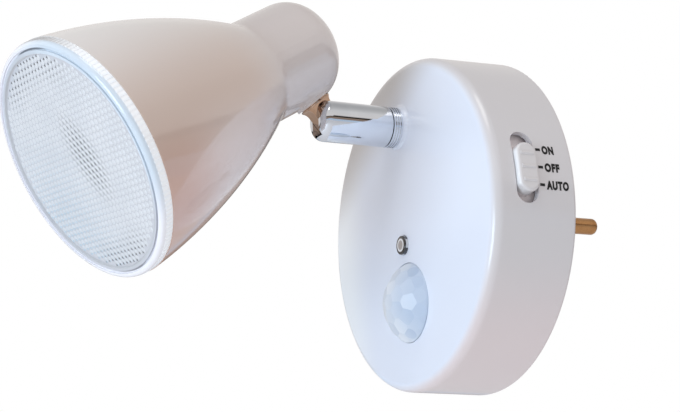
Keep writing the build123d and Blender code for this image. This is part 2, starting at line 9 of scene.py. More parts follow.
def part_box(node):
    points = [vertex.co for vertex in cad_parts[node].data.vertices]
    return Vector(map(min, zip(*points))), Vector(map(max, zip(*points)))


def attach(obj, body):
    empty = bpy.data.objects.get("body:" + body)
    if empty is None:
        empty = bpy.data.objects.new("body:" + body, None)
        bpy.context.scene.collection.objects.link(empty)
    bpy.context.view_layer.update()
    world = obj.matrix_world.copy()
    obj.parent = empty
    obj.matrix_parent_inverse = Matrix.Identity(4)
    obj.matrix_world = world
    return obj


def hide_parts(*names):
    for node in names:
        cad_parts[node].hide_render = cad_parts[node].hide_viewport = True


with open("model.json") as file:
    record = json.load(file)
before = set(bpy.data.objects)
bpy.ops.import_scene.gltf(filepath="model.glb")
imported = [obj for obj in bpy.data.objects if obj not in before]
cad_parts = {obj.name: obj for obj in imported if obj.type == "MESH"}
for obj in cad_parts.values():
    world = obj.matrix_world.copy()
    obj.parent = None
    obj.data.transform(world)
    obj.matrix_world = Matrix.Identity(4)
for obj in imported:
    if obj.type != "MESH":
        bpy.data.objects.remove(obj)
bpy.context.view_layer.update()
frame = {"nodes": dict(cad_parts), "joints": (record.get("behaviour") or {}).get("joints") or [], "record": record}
cadNodes = frame["nodes"]
jointByName = {joint["name"]: joint for joint in frame["joints"]}
mm = 0.001

# the disc's own sizes; its face edge lies one depth in front of its wall side
housing = {"radius": 40.0 * mm, "rearRadius": 40.4 * mm, "depth": 21.0 * mm, "edgeRound": 2.5 * mm}
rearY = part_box("front_housing")[1].y
faceY = rearY - housing["depth"]
pivotPoint = Vector(jointByName["head_tilt"]["pos_m"])

# how the head stands at rest on its pivot
headStand = {"tilt": 31.8, "turn": 6.8, "lensAhead": 63.9 * mm, "axisUp": 18.3 * mm}
headPlace = (Matrix.Translation(pivotPoint)
             @ Matrix.Rotation(math.radians(headStand["tilt"]), 4, "X")
             @ Matrix.Rotation(math.radians(headStand["turn"]), 4, "Z")
             @ Matrix.Translation((0, -headStand["lensAhead"], headStand["axisUp"])))
lensTurn = Matrix.Rotation(math.radians(90), 4, "X")  # a flat pattern's Z becomes the lens's outward -Y
print("frame read: face edge at", round(faceY / mm, 2), "mm")


def addPiece(name, mesh):
    piece = bpy.data.objects.new(name, mesh)
    bpy.context.scene.collection.objects.link(piece)
    return piece


def smoothBy(mesh, angle):
    mesh.shade_smooth()
    mesh.set_sharp_from_angle(angle=math.radians(angle))


def latheMesh(name, outline, steps):
    # outline is a closed loop of (radius, y); a point on the axis becomes one shared pole
    form = bmesh.new()
    rings = []
    for radius, y in outline:
        if radius < 1e-7:
            pole = form.verts.new((0, y, 0))
            rings.append([pole] * steps)
            continue
        turns = [2 * math.pi * i / steps for i in range(steps)]
        rings.append([form.verts.new((radius * math.cos(t), y, radius * math.sin(t))) for t in turns])
    for lower, upper in zip(rings, rings[1:] + rings[:1]):
        for i in range(steps):
            j = (i + 1) % steps
            corners = list(dict.fromkeys([lower[i], lower[j], upper[j], upper[i]]))
            if len(corners) > 2:
                form.faces.new(corners)
    bmesh.ops.recalc_face_normals(form, faces=form.faces)
    mesh = bpy.data.meshes.new(name)
    form.to_mesh(mesh)
    form.free()
    return mesh


def toMesh(piece, name):
    # the piece with its modifiers applied, as one plain mesh object
    depsgraph = bpy.context.evaluated_depsgraph_get()
    mesh = bpy.data.meshes.new_from_object(piece.evaluated_get(depsgraph))
    bpy.data.objects.remove(piece)
    mesh.name = name
    return addPiece(name, mesh)


def newFinish(name):
    material = bpy.data.materials.new(name)
    material.use_nodes = True
    tree = material.node_tree
    tree.nodes.clear()
    output = tree.nodes.new("ShaderNodeOutputMaterial")
    shader = tree.nodes.new("ShaderNodeBsdfPrincipled")
    tree.links.new(shader.outputs["BSDF"], output.inputs["Surface"])
    return material, tree, shader


def addNode(tree, kind, sockets=None, **settings):
    # sockets maps an input's name or number to a value or to another node's output
    node = tree.nodes.new("ShaderNode" + kind)
    for key, value in settings.items():
        setattr(node, key, value)
    for key, value in (sockets or {}).items():
        if isinstance(value, bpy.types.NodeSocket):
            tree.links.new(value, node.inputs[key])
        else:
            node.inputs[key].default_value = value
    return node


def objectPoint(tree):
    return addNode(tree, "TexCoord").outputs["Object"]


def placedPoint(tree, place):
    # object coordinates read in a frame of their own, such as the lens's
    sockets = {"Vector": objectPoint(tree), "Location": place.to_translation(), "Rotation": place.to_euler()}
    return addNode(tree, "Mapping", sockets, vector_type="TEXTURE").outputs["Vector"]


def mathOf(tree, operation, *values):
    return addNode(tree, "Math", dict(enumerate(values)), operation=operation).outputs[0]


def axesOf(tree, point):
    parts = addNode(tree, "SeparateXYZ", {0: point}).outputs
    return parts["X"], parts["Y"], parts["Z"]


def reachOf(tree, a, b):
    # how far a point is from an axis, from its two coordinates across it
    squares = [mathOf(tree, "MULTIPLY", value, value) for value in (a, b)]
    return mathOf(tree, "SQRT", mathOf(tree, "ADD", *squares))


def noiseOf(tree, point, scale, detail=3.0, roughness=0.5):
    sockets = {"Vector": point, "Scale": scale, "Detail": detail, "Roughness": roughness}
    return addNode(tree, "TexNoise", sockets).outputs["Fac"]


def mapped(tree, value, low, high, toLow, toHigh):
    sockets = {"Value": value, "From Min": low, "From Max": high, "To Min": toLow, "To Max": toHigh}
    return addNode(tree, "MapRange", sockets, interpolation_type="SMOOTHSTEP").outputs["Result"]


def fadeOver(tree, value, span, most=1.0, start=0.0):
    # rises from 0 to the most as a coordinate goes from a span's first place to its second, in mm from start
    return mapped(tree, value, start + span[0] * mm, start + span[1] * mm, 0, most)


def mixColors(tree, amount, first, second):
    node = tree.nodes.new("ShaderNodeMix")
    node.data_type = "RGBA"
    for socket, value in zip([node.inputs[0], node.inputs[6], node.inputs[7]], [amount, first, second]):
        if isinstance(value, bpy.types.NodeSocket):
            tree.links.new(value, socket)
        elif isinstance(value, (int, float)):
            socket.default_value = value
        else:
            socket.default_value = (*value, 1)
    return node.outputs[2]


def rampOf(tree, value, stops):
    ramp = addNode(tree, "ValToRGB", {"Fac": value})
    points = ramp.color_ramp.elements
    while len(points) < len(stops):
        points.new(0.5)
    for point, (position, color) in zip(points, stops):
        point.position = position
        point.color = (*color, 1)
    return ramp.outputs["Color"]


def bumpOf(tree, height, strength, distance):
    sockets = {"Height": height, "Strength": strength, "Distance": distance}
    return addNode(tree, "Bump", sockets).outputs["Normal"]


def polish(shader, coat, coatRoughness=0.05, ior=1.5):
    shader.inputs["Coat Weight"].default_value = coat
    shader.inputs["Coat Roughness"].default_value = coatRoughness
    shader.inputs["Coat IOR"].default_value = ior


skin = {"depth": 0.01 * mm, "scale": 1400, "glossScale": 60, "glossSpread": 0.02}


def skinOf(tree, shader, point, roughness, grain, grainScale=skin["scale"]):
    # uneven gloss and the fine skin of a moulding
    low, high = roughness * (1 - skin["glossSpread"]), roughness * (1 + skin["glossSpread"])
    gloss = mapped(tree, noiseOf(tree, point, skin["glossScale"], 1), 0.25, 0.75, low, high)
    tree.links.new(gloss, shader.inputs["Roughness"])
    bumps = bumpOf(tree, noiseOf(tree, point, grainScale, 1), grain, skin["depth"])
    tree.links.new(bumps, shader.inputs["Normal"])


def mouldedFinish(name, color, shade, roughness, coat=0.0, grain=0.35, grainScale=2600):
    # moulded plastic: a faintly cloudy tone under an uneven gloss
    material, tree, shader = newFinish(name)
    point = objectPoint(tree)
    cloud = mapped(tree, noiseOf(tree, point, 38, 4), 0.3, 0.7, 0, 1)
    tree.links.new(mixColors(tree, cloud, color, shade), shader.inputs["Base Color"])
    skinOf(tree, shader, point, roughness, grain, grainScale)
    polish(shader, coat)
    return material


def metalFinish(name, color, shade, roughness, brushed=0.0, brushAlong=(1, 1, 1)):
    # plated or drawn metal: faint haze patches and fine polishing marks
    material, tree, shader = newFinish(name)
    point = objectPoint(tree)
    stretch = addNode(tree, "Mapping", {"Vector": point, "Scale": brushAlong}).outputs["Vector"]
    haze = mapped(tree, noiseOf(tree, point, 160, 4), 0.35, 0.7, 0, 1)
    tree.links.new(mixColors(tree, haze, color, shade), shader.inputs["Base Color"])
    marks = noiseOf(tree, stretch, 1800, 3)
    gloss = mapped(tree, marks, 0.3, 0.7, roughness * 0.7, roughness * 1.5)
    tree.links.new(gloss, shader.inputs["Roughness"])
    tree.links.new(bumpOf(tree, marks, brushed, skin["depth"]), shader.inputs["Normal"])
    shader.inputs["Metallic"].default_value = 1.0
    return material


# the disc's tones, painted light and shade over a white moulding, and the places where they change in mm: across
# it, up it, or outwards from its flat part
housingTones = {"face": (0.79, 0.85, 0.965), "farFace": (0.93, 0.97, 1.0), "shade": (0.56, 0.54, 0.53),
                "rim": (0.67, 0.65, 0.66), "low": (0.74, 0.655, 0.655)}
housingFades = {"farFace": (-16, -36), "shade": (22, 40), "shadeSlant": 0.5, "low": (-12, -34),
                "nearEdge": (0.1, 2.1), "farEdge": (1.7, 2.5), "nearSide": (-20, 10)}


def housingFinish():
    # white moulding with painted light and shade: a painted cool light on the face, brighter on its far side, a
    # painted shadow of the head over its upper corner, painted shade greying the rim and a little painted warm
    # light underneath
    tones, fades = housingTones, housingFades
    material, tree, shader = newFinish("housingGloss")
    point = objectPoint(tree)
    across, _, height = axesOf(tree, point)
    reach = reachOf(tree, across, height)
    corner = mathOf(tree, "SUBTRACT", height, mathOf(tree, "MULTIPLY", across, fades["shadeSlant"]))
    # painted cool light on the face, painted brighter on its far side
    front = mixColors(tree, fadeOver(tree, across, fades["farFace"]), tones["face"], tones["farFace"])
    # painted shadow of the head over the face's upper corner
    face = mixColors(tree, fadeOver(tree, corner, fades["shade"]), front, tones["shade"])
    # painted shade greys the rim, with painted warm light low down
    rim = mixColors(tree, fadeOver(tree, height, fades["low"]), tones["rim"], tones["low"])
    # across the rounded edge the face's painted light gives way to the rim's painted shade
    flat = housing["radius"] - housing["edgeRound"]
    near = fadeOver(tree, reach, fades["nearEdge"], start=flat)
    far = fadeOver(tree, reach, fades["farEdge"], start=flat)
    edge = mixColors(tree, fadeOver(tree, across, fades["nearSide"]), far, near)
    tree.links.new(mixColors(tree, edge, face, rim), shader.inputs["Base Color"])
    skinOf(tree, shader, point, 0.28, 0.03)
    polish(shader, 0.4, 0.08)
    return material


# the head's tones, painted light and shade over a warm grey moulding, and the places where they change in mm: up
# from its axis, or along it from the mouth
headTones = {"top": (0.85, 0.82, 0.80), "belly": (0.62, 0.49, 0.42), "low": (0.77, 0.66, 0.62),
             "mouth": (0.66, 0.43, 0.35), "neck": (0.66, 0.60, 0.58)}
headFades = {"top": (-4, 24), "under": (-2, -18), "low": (6, 26), "neck": (34, 56)}


def headFinish():
    # warm grey moulding with painted light and shade: painted light makes it greyer and paler along the top,
    # painted shade makes it browner round the belly and towards the mouth below
    tones, fades = headTones, headFades
    material, tree, shader = newFinish("headGloss")
    point = placedPoint(tree, headPlace)
    _, along, height = axesOf(tree, point)
    # painted light paler along the top, painted shade browner round the belly
    upper = mixColors(tree, fadeOver(tree, height, fades["top"]), tones["belly"], tones["top"])
    # painted shade underneath, browner towards the mouth
    under = mixColors(tree, fadeOver(tree, along, fades["low"]), tones["mouth"], tones["low"])
    lower = mixColors(tree, fadeOver(tree, height, fades["under"]), upper, under)
    tone = mixColors(tree, fadeOver(tree, along, fades["neck"]), lower, tones["neck"])
    tree.links.new(tone, shader.inputs["Base Color"])
    skinOf(tree, shader, point, 0.30, 0.02)
    polish(shader, 0.9, 0.04, 1.6)
    return material


# rings of tone on the cap's face, by their inner radius in mm, about a centre seen a little to one side
lensZones = {"line": 24.6, "band": 24.95, "groove": 25.45, "ring": 25.85, "soft": 0.08, "shift": 0.35}
lensTones = {"inside": (0.62, 0.63, 0.67), "line": (0.56, 0.58, 0.61), "band": (0.59, 0.61, 0.66),
             "bandFar": (0.69, 0.77, 0.85), "groove": (0.72, 0.74, 0.81), "grooveFar": (0.58, 0.66, 0.74),
             "grooveDark": (0.10, 0.11, 0.13), "ring": (0.95, 0.95, 1.0), "ringFar": (0.67, 0.76, 0.85),
             "wall": (0.96, 0.98, 1.0), "wallTop": (0.66, 0.655, 0.66)}
# where the painted bluer far side, the painted shade at the dark ends of the groove, the wall with its painted
# glow and its painted darker top begin and end, in mm
lensFades = {"far": (9, 22), "farSlant": 0.3, "above": (21.5, 23.5), "aboveSide": (1, 4), "aboveMost": 0.9,
             "below": (-22.5, -24.5), "belowSide": (4, 0), "belowMost": 0.6, "wall": (1.0, 1.4),
             "wallTop": (16, 26)}
clearGlow = 0.10  # stands for the light that passes along the clear wall and its ribs


def lensFinish():
    # clear cap over a pale lamp, with painted light: a painted bluer cast on the far side where its rim is seen
    # through, painted shade in the groove above and below, and a painted glow on its wall that gives way to
    # painted shade towards the top
    tones, fades = lensTones, lensFades
    material, tree, shader = newFinish("lensPlastic")
    point = placedPoint(tree, headPlace)
    u, deep, v = axesOf(tree, point)
    reach = reachOf(tree, mathOf(tree, "SUBTRACT", u, lensZones["shift"] * mm), v)
    slanted = mathOf(tree, "ADD", u, mathOf(tree, "MULTIPLY", v, fades["farSlant"]))
    # painted bluer cast towards the far side
    far = fadeOver(tree, slanted, fades["far"])
    # painted shade at the groove's ends above and below
    above = mathOf(tree, "MULTIPLY", fadeOver(tree, v, fades["above"], fades["aboveMost"]),
                   fadeOver(tree, u, fades["aboveSide"]))
    below = mathOf(tree, "MULTIPLY", fadeOver(tree, v, fades["below"], fades["belowMost"]),
                   fadeOver(tree, u, fades["belowSide"]))
    ends = mathOf(tree, "ADD", above, below)
    groove = mixColors(tree, far, tones["groove"], tones["grooveFar"])
    zones = {"line": mixColors(tree, far, tones["line"], tones["bandFar"]),
             "band": mixColors(tree, far, tones["band"], tones["bandFar"]),
             "groove": mixColors(tree, ends, groove, tones["grooveDark"]),
             "ring": mixColors(tree, far, tones["ring"], tones["ringFar"])}
    tone = tones["inside"]
    for name, color in zones.items():
        span = (lensZones[name] - lensZones["soft"], lensZones[name] + lensZones["soft"])
        tone = mixColors(tree, fadeOver(tree, reach, span), tone, color)
    # a painted glow on the wall, giving way to painted shade towards its top
    wall = fadeOver(tree, deep, fades["wall"])
    higher = fadeOver(tree, v, fades["wallTop"])
    glow = mathOf(tree, "MULTIPLY", wall, mathOf(tree, "SUBTRACT", 1.0, higher))
    tone = mixColors(tree, wall, tone, mixColors(tree, higher, tones["wall"], tones["wallTop"]))
    tree.links.new(tone, shader.inputs["Base Color"])
    tree.links.new(mixColors(tree, glow, (0.0, 0.0, 0.0), tones["wall"]), shader.inputs["Emission Color"])
    shader.inputs["Emission Strength"].default_value = clearGlow
    skinOf(tree, shader, point, 0.16, 0.02)
    polish(shader, 0.6, 0.04)
    return material


# the light sensor's tones, from the middle of its front outwards and down its side streaked with painted
# reflections, in mm; its ring is a painted highlight and its black edge a painted shadow
bead = {"radius": 2.4, "chip": (0.33, 0.30, 0.29), "chipEdge": (0.36, 0.33, 0.32), "ring": (0.80, 0.81, 0.83),
        "edge": (0.012, 0.012, 0.014), "darkStreak": (0.03, 0.03, 0.035), "paleStreak": (0.62, 0.64, 0.68),
        "side": (0.28, 0.42)}


def beadFinish():
    # clear round sensor: a grey chip in the middle, a painted highlight ring, a black edge of painted shadow and
    # sides streaked with painted reflections
    low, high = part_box("light_sensor")
    material, tree, shader = newFinish("sensorBead")
    point = placedPoint(tree, Matrix.Translation((0, low.y, (low.z + high.z) / 2)))
    u, deep, v = axesOf(tree, point)
    share = mathOf(tree, "DIVIDE", reachOf(tree, u, v), bead["radius"] * mm)
    front = rampOf(tree, share, [(0.0, bead["chip"]), (0.44, bead["chipEdge"]), (0.52, bead["ring"]),
                                 (0.62, bead["ring"]), (0.70, bead["edge"]), (1.0, bead["edge"])])
    stretched = addNode(tree, "Mapping", {"Vector": point, "Scale": (1, 0.15, 1)}).outputs["Vector"]
    streaks = noiseOf(tree, stretched, 750, 2)
    sides = rampOf(tree, streaks, [(0.46, bead["darkStreak"]), (0.56, bead["paleStreak"])])
    tone = mixColors(tree, fadeOver(tree, deep, bead["side"]), front, sides)
    tree.links.new(tone, shader.inputs["Base Color"])
    shader.inputs["Roughness"].default_value = 0.12
    polish(shader, 0.8, 0.02)
    return material


# the knob's tones, with painted light on its front bevel in mm from its front and on its foot in mm from the
# disc's axis
knob = {"top": (0.70, 0.68, 0.685), "bevel": (0.95, 0.97, 1.0), "foot": (0.97, 0.90, 0.90),
        "bevelFade": (1.5, 0.9), "footFade": (39.0, 38.5)}


def knobFinish():
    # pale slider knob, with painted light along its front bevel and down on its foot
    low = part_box("switch_knob")[0]
    material, tree, shader = newFinish("knobPlastic")
    point = objectPoint(tree)
    out, along, _ = axesOf(tree, point)
    bevel = fadeOver(tree, along, knob["bevelFade"], start=low.y)
    foot = fadeOver(tree, out, knob["footFade"])
    tone = mixColors(tree, foot, mixColors(tree, bevel, knob["top"], knob["bevel"]), knob["foot"])
    tree.links.new(tone, shader.inputs["Base Color"])
    skinOf(tree, shader, point, 0.3, 0.03)
    polish(shader, 0.4, 0.06)
    return material


finishes = {
    "housing_plastic": housingFinish(),
    "head_plastic": headFinish(),
    "cover_plastic": mouldedFinish("coverMatt", (0.74, 0.76, 0.80), (0.71, 0.73, 0.77), 0.5, 0.0, 0.8, 1500),
    "knob_plastic": knobFinish(),
    "sleeve_plastic": mouldedFinish("sleevePlastic", (0.76, 0.77, 0.80), (0.70, 0.71, 0.74), 0.45),
    "black_plastic": mouldedFinish("blackPlastic", (0.030, 0.030, 0.033), (0.045, 0.045, 0.05), 0.4),
    "lead_insulation": mouldedFinish("leadInsulation", (0.70, 0.70, 0.72), (0.62, 0.62, 0.64), 0.5),
    "film_yellow": mouldedFinish("filmYellow", (0.72, 0.46, 0.06), (0.62, 0.38, 0.05), 0.3, 0.3),
    "capacitor_sleeve": mouldedFinish("capacitorSleeve", (0.03, 0.04, 0.10), (0.05, 0.06, 0.13), 0.3, 0.2),
    "resistor_body": mouldedFinish("resistorBody", (0.45, 0.60, 0.52), (0.38, 0.52, 0.45), 0.4),
    "photocell": beadFinish(),
    "board_laminate": mouldedFinish("boardLaminate", (0.03, 0.16, 0.07), (0.04, 0.22, 0.09), 0.35, 0.3),
    "led_board_white": mouldedFinish("ledBoardWhite", (0.84, 0.85, 0.86), (0.78, 0.79, 0.80), 0.4, 0.1),
    "led_package": mouldedFinish("ledPackage", (0.85, 0.72, 0.25), (0.80, 0.64, 0.18), 0.3, 0.3),
    "dome_plastic": mouldedFinish("domePlastic", (0.58, 0.66, 0.79), (0.62, 0.70, 0.82), 0.2, 0.6),
    "lens_plastic": lensFinish(),
    "chrome": metalFinish("chrome", (0.76, 0.79, 0.84), (0.72, 0.75, 0.80), 0.04, 0.01),
    "screw_steel": metalFinish("screwSteel", (0.60, 0.60, 0.61), (0.50, 0.50, 0.52), 0.28, 0.15),
    "sensor_can": metalFinish("sensorCan", (0.58, 0.58, 0.59), (0.50, 0.50, 0.51), 0.30, 0.2),
    "brass": metalFinish("brass", (0.56, 0.30, 0.13), (0.42, 0.21, 0.085), 0.28, 0.12, (1, 0.05, 1)),
}
inkFinish = mouldedFinish("letterInk", (0.001, 0.001, 0.001), (0.002, 0.002, 0.002), 0.6)
tongueFinish = metalFinish("warmPlate", (0.54, 0.37, 0.27), (0.38, 0.25, 0.17), 0.07, 0.05)

slotOf = {row["node"]: row["material_slot"] for row in frame["record"]["subparts"]}
for nodeName, node in cadNodes.items():
    node.data.materials.clear()
    node.data.materials.append(tongueFinish if nodeName == "knuckle_tongue" else finishes[slotOf[nodeName]])
print("finishes:", len(finishes), "slots")


def place(piece, body, slot, *replaced):
    # gives a made piece its body, its slot and the CAD nodes that it stands for
    if not piece.data.materials:
        piece.data.materials.append(finishes[slot])
    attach(piece, body)
    if replaced:
        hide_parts(*replaced)


def newTree(name, numbers):
    # an empty tree whose inputs are sizes in metres, counts and the finish
    tree = bpy.data.node_groups.new(name, "GeometryNodeTree")
    face = tree.interface
    for label, kind in numbers.items():
        face.new_socket(label, in_out="INPUT", socket_type="NodeSocket" + kind)
    face.new_socket("Finish", in_out="INPUT", socket_type="NodeSocketMaterial")
    face.new_socket("Geometry", in_out="OUTPUT", socket_type="NodeSocketGeometry")
    given = tree.nodes.new("NodeGroupInput")
    result = tree.nodes.new("NodeGroupOutput")

    def step(kind, sockets=None, **settings):
        node = tree.nodes.new(kind)
        for key, value in settings.items():
            setattr(node, key, value)
        for key, value in (sockets or {}).items():
            if isinstance(value, bpy.types.NodeSocket):
                tree.links.new(value, node.inputs[key])
            else:
                node.inputs[key].default_value = value
        return node

    def finish(copies):
        real = step("GeometryNodeRealizeInstances", {0: copies}).outputs[0]
        done = step("GeometryNodeSetMaterial", {"Geometry": real, "Material": given.outputs["Finish"]})
        tree.links.new(done.outputs[0], result.inputs[0])
        return tree

    return given.outputs, step, finish


def runTree(name, tree, values):
    # evaluates a tree with its named inputs on an empty mesh and keeps the plain result
    holder = addPiece(name, bpy.data.meshes.new(name))
    modifier = holder.modifiers.new(name, "NODES")
    modifier.node_group = tree
    for item in tree.interface.items_tree:
        if item.in_out == "INPUT" and item.name in values:
            modifier[item.identifier] = values[item.name]
    bpy.context.view_layer.update()
    piece = toMesh(holder, name)
    piece.data.materials.clear()  # the result carries an empty first slot
    piece.data.materials.append(values["Finish"])
    return piece


def gridTree():
    # a hexagonal field of six-sided prisms inside a circle
    given, step, finish = newTree("prismField", {"Pitch": "Float", "Field Radius": "Float",
                                                 "Prism Height": "Float", "Flat Tip": "Float", "Rows": "Int"})

    def mathStep(operation, a, b):
        return step("ShaderNodeMath", {0: a, 1: b}, operation=operation).outputs[0]

    pitch = given["Pitch"]
    rowPitch = mathStep("MULTIPLY", pitch, math.sqrt(3) / 2)
    gaps = mathStep("SUBTRACT", given["Rows"], 1)
    field = step("GeometryNodeMeshGrid", {"Size X": mathStep("MULTIPLY", pitch, gaps),
                                          "Size Y": mathStep("MULTIPLY", rowPitch, gaps),
                                          "Vertices X": given["Rows"], "Vertices Y": given["Rows"]})
    spot = step("GeometryNodeInputPosition").outputs[0]
    parts = step("ShaderNodeSeparateXYZ", {0: spot})
    rowNumber = mathStep("ROUND", mathStep("DIVIDE", parts.outputs["Y"], rowPitch), 0.0)
    odd = mathStep("FLOORED_MODULO", rowNumber, 2.0)
    shift = mathStep("MULTIPLY", mathStep("MULTIPLY", odd, pitch), 0.5)
    offset = step("ShaderNodeCombineXYZ", {"X": shift}).outputs[0]
    moved = step("GeometryNodeSetPosition", {"Geometry": field.outputs["Mesh"], "Offset": offset})
    reach = step("ShaderNodeVectorMath", {0: step("GeometryNodeInputPosition").outputs[0]},
                 operation="LENGTH").outputs["Value"]
    outside = step("FunctionNodeCompare", {0: reach, 1: given["Field Radius"]},
                   data_type="FLOAT", operation="GREATER_THAN").outputs[0]
    kept = step("GeometryNodeDeleteGeometry", {"Geometry": moved.outputs[0], "Selection": outside},
                domain="POINT")
    corner = mathStep("DIVIDE", pitch, math.sqrt(3))
    prism = step("GeometryNodeMeshCone", {"Vertices": 6, "Radius Bottom": corner,
                                          "Radius Top": given["Flat Tip"], "Depth": given["Prism Height"]})
    turned = step("FunctionNodeAxisAngleToRotation", {"Axis": (0, 0, 1), "Angle": math.radians(30)})
    copies = step("GeometryNodeInstanceOnPoints", {
        "Points": kept.outputs[0], "Instance": prism.outputs["Mesh"], "Rotation": turned.outputs[0]})
    return finish(copies.outputs[0])


def ribTree():
    # small bars standing round a circle, each turned to face outwards
    given, step, finish = newTree("ribRing", {"Ring Radius": "Float", "Count": "Int", "Rib Width": "Float",
                                              "Rib Height": "Float", "Rib Length": "Float"})
    circle = step("GeometryNodeMeshCircle", {"Vertices": given["Count"], "Radius": given["Ring Radius"]})
    size = step("ShaderNodeCombineXYZ", {"X": given["Rib Height"], "Y": given["Rib Width"],
                                         "Z": given["Rib Length"]})
    bar = step("GeometryNodeMeshCube", {"Size": size.outputs[0]})
    spot = step("GeometryNodeInputPosition").outputs[0]
    outward = step("FunctionNodeAlignRotationToVector", {"Vector": spot}, axis="X")
    copies = step("GeometryNodeInstanceOnPoints", {
        "Points": circle.outputs[0], "Instance": bar.outputs["Mesh"], "Rotation": outward.outputs[0]})
    return finish(copies.outputs[0])


prismGrid = {"pitch": 1.5, "turn": -10.0, "radius": 23.9, "height": 0.16, "sink": 0.02, "flat": 0.08,
             "recess": 0.5}
# prism tones: blue, bright and dark stand for painted bluish reflections, painted glints and painted dark
# reflections
prismTones = {"clear": (0.67, 0.685, 0.71), "cloudy": (0.72, 0.73, 0.75), "blue": (0.50, 0.60, 0.68),
              "bright": (0.88, 0.91, 0.95), "dark": (0.008, 0.009, 0.011)}
facetLayers = ("darkSide", "blueSide", "brightSide")
# which way each side of a prism leans, in degrees anticlockwise from the lens's right, and the play allowed
leanings = {"right": -10, "down": -70, "downLeft": -130, "left": 170, "up": 110, "play": 25}
# the patch of painted dark reflections: its middle and half sizes in mm, and the shares of them where it starts
# and is full
darkPatch = {"centre": (4.0, -0.2), "size": (6.2, 12.0), "fades": (1.0, 0.4), "downLeftShare": 0.8}
# rows of painted dark reflections: the radii in mm over which they deepen, and each one's middle, end and full
# part in degrees
darkRows = {"radii": (17.0, 22.0), "top": (86, 44, 25), "bottom": (-97, 34, 15), "leftShare": 0.3}
# the parts with painted bluish reflections and painted glints, by how far to the left, down or right they start
# and are full, in mm
blueSide = {"left": (-4, 16), "down": (-14, 6), "otherShare": 0.25}
brightSide = {"right": (2, 16), "most": 0.4}


def fade(value, low, high):
    return max(0.0, min(1.0, (value - low) / (high - low)))


def leansTo(slope, way):
    off = abs(slope - leanings[way]) % 360
    return min(off, 360 - off) < leanings["play"]


def facetTones(u, v, slope):
    # how much painted dark reflection, painted bluish reflection and painted glint one side of a prism gets, by
    # its place and the way it leans
    turn = math.degrees(math.atan2(v, u))
    edge = fade(math.hypot(u, v), *darkRows["radii"])
    top, bottom = (edge * fade(abs(turn - middle), end, full)
                   for middle, end, full in (darkRows["top"], darkRows["bottom"]))
    centre, size = darkPatch["centre"], darkPatch["size"]
    patch = fade(math.hypot((u - centre[0]) / size[0], (v - centre[1]) / size[1]), *darkPatch["fades"])
    dark = 0.0
    if leansTo(slope, "left"):
        dark = max(patch, darkRows["leftShare"] * bottom)
    if leansTo(slope, "up"):
        dark = top
    if leansTo(slope, "downLeft"):
        dark = max(darkPatch["downLeftShare"] * patch, bottom)
    blue = fade(-u, *blueSide["left"]) * fade(-v, *blueSide["down"])
    if not (leansTo(slope, "down") or leansTo(slope, "downLeft")):
        blue *= blueSide["otherShare"]
    bright = brightSide["most"] * fade(u, *brightSide["right"]) if leansTo(slope, "right") else 0.0
    return dark, blue, bright


def prismFinish():
    # clear prisms over a pale lamp, with painted reflections and glints side by side for what each one catches
    material, tree, shader = newFinish("prismPlastic")
    dark, blue, bright = (addNode(tree, "Attribute", attribute_name=name).outputs["Fac"]
                          for name in facetLayers)
    cloud = mapped(tree, noiseOf(tree, placedPoint(tree, headPlace), 120, 3), 0.3, 0.7, 0, 1)
    tone = mixColors(tree, cloud, prismTones["clear"], prismTones["cloudy"])
    tone = mixColors(tree, blue, tone, prismTones["blue"])
    tone = mixColors(tree, bright, tone, prismTones["bright"])
    tree.links.new(mixColors(tree, dark, tone, prismTones["dark"]), shader.inputs["Base Color"])
    shader.inputs["Roughness"].default_value = 0.35
    polish(shader, 0.1, 0.1)
    return material


def makePrisms(s):
    rows = 2 * math.ceil(s["radius"] / (s["pitch"] * math.sqrt(3) / 2)) + 1
    piece = runTree("prismGrid", gridTree(), {
        "Pitch": s["pitch"] * mm, "Field Radius": s["radius"] * mm, "Prism Height": s["height"] * mm,
        "Flat Tip": s["flat"] * mm, "Rows": rows, "Finish": prismFinish()})
    mesh = piece.data
    mesh.transform(Matrix.Rotation(math.radians(s["turn"]), 4, "Z"))
    for name in facetLayers:
        mesh.attributes.new(name, "FLOAT", "FACE")
    layers = [mesh.attributes[name] for name in facetLayers]
    for face in mesh.polygons:
        slope = math.degrees(math.atan2(face.normal.y, face.normal.x))
        tones = (0.0, 0.0, 0.0)  # a prism's base and flat tip stay clear
        if abs(face.normal.z) < 0.99:
            tones = facetTones(face.center.x / mm, face.center.y / mm, slope)
        for layer, tone in zip(layers, tones):
            layer.data[face.index].value = tone
    lift = Matrix.Translation((0, (s["recess"] + s["sink"]) * mm, 0))
    mesh.transform(headPlace @ lift @ lensTurn)
    mesh.shade_flat()
    place(piece, "head", "lens_plastic")
    return piece


ribRing = {"radius": 27.26, "count": 150, "width": 0.45, "height": 0.28, "length": 1.7, "middle": 2.05}


def ribFinish():
    # clear ribs with a painted glow for a little of the light passing along the cap's wall, and painted shade
    # making them darker at the top
    material, tree, shader = newFinish("ribPlastic")
    point = placedPoint(tree, headPlace)
    cloud = mapped(tree, noiseOf(tree, point, 90, 3), 0.3, 0.7, 0, 1)
    tone = mixColors(tree, cloud, lensTones["wall"], (0.90, 0.94, 0.98))
    higher = fadeOver(tree, axesOf(tree, point)[2], lensFades["wallTop"])
    tree.links.new(mixColors(tree, higher, tone, lensTones["wallTop"]), shader.inputs["Base Color"])
    tree.links.new(mixColors(tree, higher, tone, (0.0, 0.0, 0.0)), shader.inputs["Emission Color"])
    shader.inputs["Emission Strength"].default_value = clearGlow
    skinOf(tree, shader, point, 0.2, 0.05)
    polish(shader, 0.4, 0.05)
    return material


